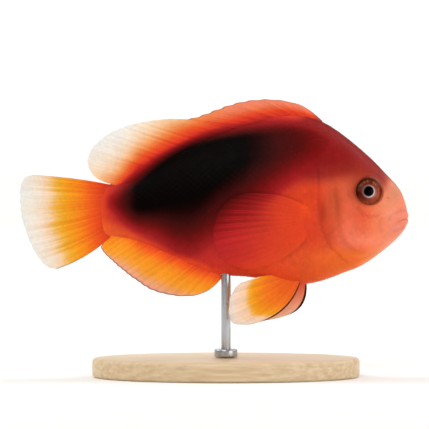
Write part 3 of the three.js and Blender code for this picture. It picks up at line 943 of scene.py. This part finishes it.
def tailColour(behind, above, share, height, ridge, streak):
    # bands that bow with the rear margin, with the lower lobe paler
    band = behind - 0.25 * np.maximum(0, above - 0.09) ** 1.2 + 0.4 * np.maximum(0, -0.03 - above)
    band = band + 0.014 * streak * ease(0.99, 1.06, behind)
    colour = ramp(band, finColours["tail"])
    margin = np.maximum(ease(0.97, 1, share), 1 - ease(0, 0.02, share))
    colour = over(colour, 0.6 * margin * ease(0.98, 1.04, behind), "9A5E4C")
    colour = over(colour, 0.5 * ease(0.975, 1, height), "D5D3CE")
    return streaked(colour, ridge, streak, 0.05 * (1 - 0.6 * ease(0.5, 1, height)))


def pectoralColour(behind, above, share, height, ridge, streak):
    # the flank shows through it, and most at its base and its upper and lower edges
    colour = ramp(behind, finColours["pectoral"])
    colour = over(colour, 0.8 * ease(-0.08, 0.06, above) * ease(0.4, 0.54, behind), "7A1418")
    tip = ease(0.65, 1, height) * (0.95 - 0.5 * ease(0.4, 0.7, share))
    ends = (1 - ease(0, 0.42, share), ease(0.6, 0.95, share), 1 - ease(0, 0.3, height), tip)
    sheer = np.maximum(np.max(ends, axis=0), 0.25)
    colour = over(colour, sheer, markings(behind, above))
    contrast = (0.05 + 0.13 * ease(0.35, 0.75, height)) * (1 - 0.75 * ease(0.4, 0.65, share))
    return streaked(colour, ridge, streak, contrast * (1 - 0.4 * sheer))


def pelvicColour(leading, wide, hemmed):
    def colourOf(behind, above, share, height, ridge, streak):
        colour = ramp(height + 0.012 * streak, finColours["pelvic"])
        colour = over(colour, hemmed * (1 - ease(0.3, 0.55, share)), ramp(height, finColours["pelvicInner"]))
        edge = (1 - ease(0.6 * wide, wide, share)) * ease(0.02, 0.15, height)
        edge = edge * (1 - (1 - hemmed) * ease(0.84, 0.98, height))
        edge = np.maximum(edge, hemmed * ease(0.955, 0.975, height) * (1 - ease(0.3, 0.6, share)))
        return over(streaked(colour, ridge, streak), 0.92 * edge, leading)
    return colourOf


def pectoralSway(side):  # along the flank
    def sway(share, height, root, at):
        cupped = 0.4 * (1 - share) * (1 - 2 * share)
        out = 1.4 * ease(0, 0.14, height) - 0.7 - (0.25 + cupped) * height
        level = 0.35 * (1 - 0.8 * share**2)  # how much it keeps to its root's place
        flank = level * halfWidthAt(*root.T) + (1 - level) * halfWidthAt(*at.T)
        return side * (flank + out * mm)
    return sway


def pelvicSway(side, splay):
    def sway(share, height, root, at):
        return side * (2.4 + splay * (1 - 0.3 * share) * height) * mm
    return sway


def makeFins():
    dorsal, anal, pectoral, pelvic = (fins[name] for name in ("dorsal", "anal", "pectoral", "pelvic"))
    root = rootAlong(backAt, dorsal["from"], dorsal["to"], -rootDepth)
    spines = {**dorsal, **dorsal["spines"], "root": root, "range": (0, dorsal["lastSpine"])}
    makeFin("dorsal_spines", spines, dorsalColour, "dorsal_fin_spiny", "fin_red")
    softRays = {**dorsal, **dorsal["softRays"], "root": root, "range": (dorsal["lastSpine"], 1)}
    makeFin("dorsal_soft_rays", softRays, dorsalColour, "dorsal_fin_soft", "fin_pale")
    root = rootAlong(bellyAt, anal["from"], anal["to"], rootDepth)
    makeFin("anal_rays", {**anal, "root": root}, analColour, "anal_fin", "fin_pale")
    makeFin("tail_rays", fins["tail"], tailColour, "tail_fin", "fin_pale")
    sides = {"right": -1, "left": 1}
    for name, side in sides.items():
        makeFin(f"pectoral_rays_{name}", pectoral, pectoralColour, f"pectoral_fin_{name}", "fin_red",
                pectoralSway(side))
    for name, side in sides.items():
        fin = {**pelvic, **pelvic[name]}
        makeFin(f"pelvic_rays_{name}", fin, pelvicColour(*fin["leading"]), f"pelvic_fin_{name}", "fin_pale",
                pelvicSway(side, fin["splay"]))
    print("fins made")


makeFins()


iris = {
    "pupil": 1.5 * mm,
    # by mm from its middle
    "colours": {
        0: "040203", 1.46: "060304", 1.56: "7A5A60", 1.72: "D2AEB6", 1.9: "A06A64", 2.15: "6A2A1C",
        2.6: "54180E", 3.1: "5C2010", 3.5: "481609", 3.9: "5E1E0F", 4.15: "7E2E1A", 4.4: "A85238",
    },
    "bulge": 0.1 * mm,     # of the pupil
    "bright": -0.5,        # the silvery ring is brightest this way, in radians above forward: the side of the eye painted as lit
    "seed": 21,
}


def eyeMaterial():
    look = {"Roughness": 0.2, "Specular IOR Level": 0.04, "Coat Weight": 0.03, "Coat Roughness": 0.03}
    material, tree, shader = newMaterial("wet_eye", look)
    tintMarks(tree, shader, noiseRange(tree, 3.0, 1500, 0.75, 1.3))
    return material


def band(away, middle, width):  # round the iris, in mm
    return bell(away - middle * mm, width * mm)


def makeEyes():
    material = eyeMaterial()
    for name, side in (("right", -1), ("left", 1)):
        piece = added(f"eyeball_{name}", bpy.ops.mesh.primitive_uv_sphere_add,
                      segments=eye["sides"], ring_count=eye["sides"], radius=1)
        across, tall, out = vertexPlaces(piece).T  # the pole looks outwards
        away = np.hypot(across, tall) * eye["radius"]
        x, y, z = across * eye["radius"], side * out * eye["halfDepth"], tall * eye["radius"]
        pupil = 1 - ease(0.8 * iris["pupil"], 1.5 * iris["pupil"], away)
        y = y + side * iris["bulge"] * pupil * (out > 0)
        y, z = turnedBy(side * eye["up"], y, z)
        x, y = turnedBy(-side * eye["forward"], x, y)
        middle = (snoutX - eye["at"][0] * bodyLength,
                  side * (halfWidthAt(*np.array(eye["at"])) - eye["sunk"]),
                  snoutZ + eye["at"][1] * bodyLength)
        placeVertices(piece, np.stack([x, y, z], -1) + np.array(middle))
        away, angle = np.hypot(x, z), np.arctan2(z, x)
        towardLight = 0.5 + 0.5 * np.cos(angle - iris["bright"])
        random = np.random.default_rng(iris["seed"])
        flecks = sum(random.uniform(0.3, 1) * np.sin(k * angle + random.uniform(0, 6.3))
                     for k in (5, 8, 13, 19, 29, 37))
        gold = band(away, 2.95, 0.5) * ease(-0.3, 0.8, np.sin(angle)) * np.clip(0.4 + flecks / 4, 0, 1)
        colour = ramp(away, iris["colours"])
        # painted light and shade: lighter and redder on the lit side, darker away from it, and a painted
        # highlight on the silvery ring
        for weight, code in (
            (0.75 * band(away, 1.75, 0.3) * (1 - towardLight), "4A2E30"),
            (0.6 * band(away, 3.7, 0.6) * (1 - towardLight), "260E0A"),
            (0.7 * band(away, 2.35, 0.4) * towardLight**3, "CF8C78"),
            (0.75 * gold, "A8744E"),
            (0.75 * band(away, 3.15, 0.5) * towardLight**2, "B85A44"),
            (0.7 * band(away, 1.75, 0.16) * towardLight**2, "F8E8EE"),
            (0.55 * band(away, 3.7, 0.6) * ease(0.2, 1, -np.sin(angle)), "A84A2C"),
        ):
            colour = over(colour, weight, code)
        paint(piece, colour)
        finishPiece(piece, 180, material, "eye", f"eye_{name}")
    print("eyes made")


makeEyes()


grains = {
    "pale_maple": {
        "look": {"Coat Weight": 0.15, "Coat Roughness": 0.3},
        "noise": (60, 6.0, 0.6, (1, 14, 14)), "tones": {0.3: "C7A87E", 0.7: "E2CBA6"},
        "rough": (0.5, 0.38), "relief": (0.15, 0.0002),
    },
    "brushed_steel": {
        "look": {"Metallic": 1.0},
        "noise": (400, 4.0, 0.6, (12, 12, 0.6)), "tones": {0: "A9ACB0", 1: "CDD0D3"},
        "rough": (0.22, 0.36), "relief": (0.1, 0.00005),
    },
    "pale_floor": {
        "look": {"Roughness": 0.9, "Specular IOR Level": 0.1},
        "noise": (8, 2.0), "tones": {0: "F2F1EE", 1: "F7F6F4"},
    },
}


def grainMaterial(name):  # a grain in two tones, with its gloss and relief
    grain = grains[name]
    material, tree, shader = newMaterial(name, grain["look"])
    noise = noiseAt(tree, *grain["noise"])
    tones = node(tree, "ValToRGB", Fac=noise)
    for element, (place, code) in zip(tones.color_ramp.elements, grain["tones"].items()):
        element.position = place
        element.color = (*linear(rgb(code)), 1)
    setUp(tree, shader, {"Base Color": tones.outputs["Color"]})
    if "relief" in grain:
        setUp(tree, shader, {"Roughness": rangeOf(tree, noise, *grain["rough"])})
        bumpOf(tree, shader, [(noise, *grain["relief"])])
    return material


stand = {"baseRim": 1.2 * mm, "collarRim": 0.5 * mm, "rodRim": 0.2 * mm}


def turnedPiece(name, node, material, slot, bevel, sides):
    # a round piece in its node's box, with rounded rims
    low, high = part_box(node)
    size, middle = high - low, (high + low) / 2
    piece = added(name, bpy.ops.mesh.primitive_cylinder_add,
                  vertices=sides, radius=0.5, depth=1, location=middle)
    piece.scale = size
    bpy.ops.object.transform_apply(location=True, rotation=True, scale=True)
    modify(piece, "BEVEL", width=bevel, segments=5, limit_method="ANGLE", angle_limit=math.radians(50))
    finishPiece(piece, 35, material, slot, node)


def makeStand():
    wood, steel = grainMaterial("pale_maple"), grainMaterial("brushed_steel")
    turnedPiece("stand_plinth", "stand_base", wood, "stand_wood", stand["baseRim"], 160)
    turnedPiece("stand_ferrule", "stand_collar", steel, "stand_steel", stand["collarRim"], 64)
    turnedPiece("stand_post", "stand_rod", steel, "stand_steel", stand["rodRim"], 48)
    print("stand made")


makeStand()


studio = {
    "cameraAway": 0.9,
    "cameraUp": 1.5,          # degrees
    "frameWidth": 0.1314,
    "frameMiddle": (-0.0035, 0.0, 0.0499),
    "sweep": {"width": 6, "length": 7, "front": 2.5, "back": 1.6, "radius": 0.8},
    "world": 0.18,
}
# place, size, watts and, for those not aimed at the fish, aim
lights = {
    "key": ((-0.35, -0.85, 0.75), 0.7, 5.3),
    "front": ((0.95, -0.8, 0.15), 0.8, 5.0),
    "top": ((0, 0, 0.9), 0.8, 1.9),
    "backdropLeft": ((-1.2, 0.4, 1.1), 1.2, 27, (0, 2.4, 0.3)),
    "backdropRight": ((1.2, 0.4, 1.1), 1.2, 27, (0, 2.4, 0.3)),
}


def makeStage():
    # a floor that sweeps up into a backdrop
    floor = added("floor", bpy.ops.mesh.primitive_grid_add, x_subdivisions=4, y_subdivisions=60, size=1)
    unit = vertexPlaces(floor)
    sweep = studio["sweep"]
    run = (unit[:, 1] + 0.5) * sweep["length"] - sweep["front"]
    bend, radius = sweep["back"], sweep["radius"]
    turned = np.clip((run - bend) / radius, 0, math.pi / 2)
    flat = np.minimum(run, bend)
    upright = np.maximum(0, run - bend - radius * math.pi / 2)
    placeVertices(floor, np.stack([unit[:, 0] * sweep["width"], flat + radius * np.sin(turned),
                                   radius * (1 - np.cos(turned)) + upright], -1))
    smoothShade(180)
    floor.data.materials.append(grainMaterial("pale_floor"))


def makeLight(name, place, size, watts, aim=studio["frameMiddle"]):
    lamp = bpy.data.lights.new(name, "AREA")
    lamp.energy = watts
    lamp.size = size
    lampObject = placed(name, lamp)
    lampObject.location = place
    x, y, z = np.subtract(aim, place)
    lampObject.rotation_euler = (math.atan2(math.hypot(x, y), -z), 0, math.atan2(y, x) - math.pi / 2)


def makeCamera():
    camera = placed("camera", bpy.data.cameras.new("camera"))
    up = math.radians(studio["cameraUp"])
    x, y, z = studio["frameMiddle"]
    away = studio["cameraAway"]
    camera.location = (x, y - away * math.cos(up), z + away * math.sin(up))
    camera.rotation_euler = (math.pi / 2 - up, 0, 0)
    camera.data.lens = camera.data.sensor_width * away / studio["frameWidth"]
    bpy.context.scene.camera = camera


def makeStudio():
    scene = bpy.context.scene
    scene.view_settings.view_transform = "Standard"
    world = bpy.data.worlds.new("studio")
    world.use_nodes = True
    glow = world.node_tree.nodes["Background"].inputs
    glow["Color"].default_value = (1, 1, 1, 1)
    glow["Strength"].default_value = studio["world"]
    scene.world = world
    makeStage()
    for name, light in lights.items():
        makeLight(name, *light)
    makeCamera()
    print("studio made")


makeStudio()
